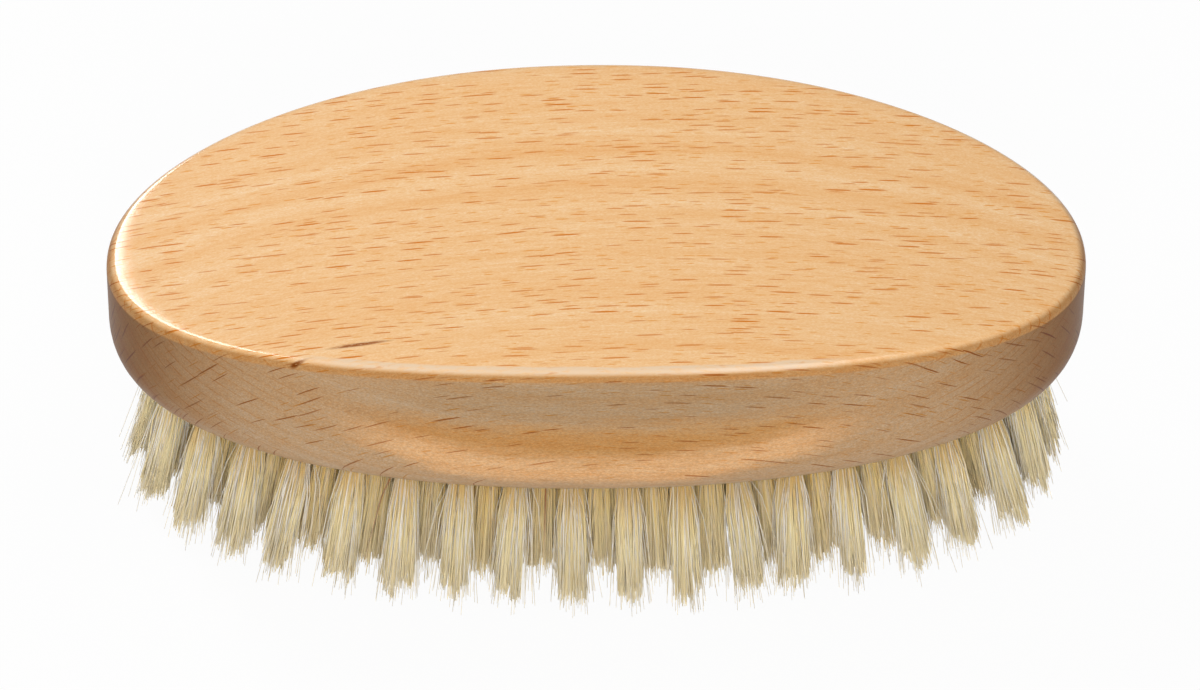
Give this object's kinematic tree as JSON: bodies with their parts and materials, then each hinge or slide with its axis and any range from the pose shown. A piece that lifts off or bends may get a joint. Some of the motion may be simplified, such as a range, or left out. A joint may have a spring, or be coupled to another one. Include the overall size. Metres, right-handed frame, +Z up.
{
  "type": "beard brush",
  "caption": "Oval palm-held beard brush: a solid beech back arched along its length, filled with rows of pale bristle tufts trimmed level.",
  "frame": {"origin": "middle of the oval, at the level of the bristle tips, which is the surface that the brush stands on", "axes": "+Z up, from the bristle tips to the back; +X along the length of the oval; +Y across it"},
  "size_m": [0.125, 0.063, 0.042],
  "materials": {
    "beech": "satin",
    "bristle": "satin",
    "staple_wire": "satin"
  },
  "bodies": {
    "root": {"stock": "beech", "bristles_outer_row": "bristle", "bristles_second_row": "bristle", "bristles_inner_rows": "bristle", "bristles_middle": "bristle", "staple_01": "staple_wire", "staple_02": "staple_wire", "staple_03": "staple_wire", "staple_04": "staple_wire", "staple_05": "staple_wire", "staple_06": "staple_wire", "staple_07": "staple_wire", "staple_08": "staple_wire", "staple_09": "staple_wire", "staple_10": "staple_wire", "staple_11": "staple_wire", "staple_12": "staple_wire", "staple_13": "staple_wire", "staple_14": "staple_wire", "staple_15": "staple_wire", "staple_16": "staple_wire", "staple_17": "staple_wire", "staple_18": "staple_wire", "staple_19": "staple_wire", "staple_20": "staple_wire", "staple_21": "staple_wire", "staple_22": "staple_wire", "staple_23": "staple_wire", "staple_24": "staple_wire", "staple_25": "staple_wire", "staple_26": "staple_wire", "staple_27": "staple_wire", "staple_28": "staple_wire", "staple_29": "staple_wire", "staple_30": "staple_wire", "staple_31": "staple_wire", "staple_32": "staple_wire", "staple_33": "staple_wire", "staple_34": "staple_wire", "staple_35": "staple_wire", "staple_36": "staple_wire", "staple_37": "staple_wire", "staple_38": "staple_wire"}
  },
  "joints": []
}
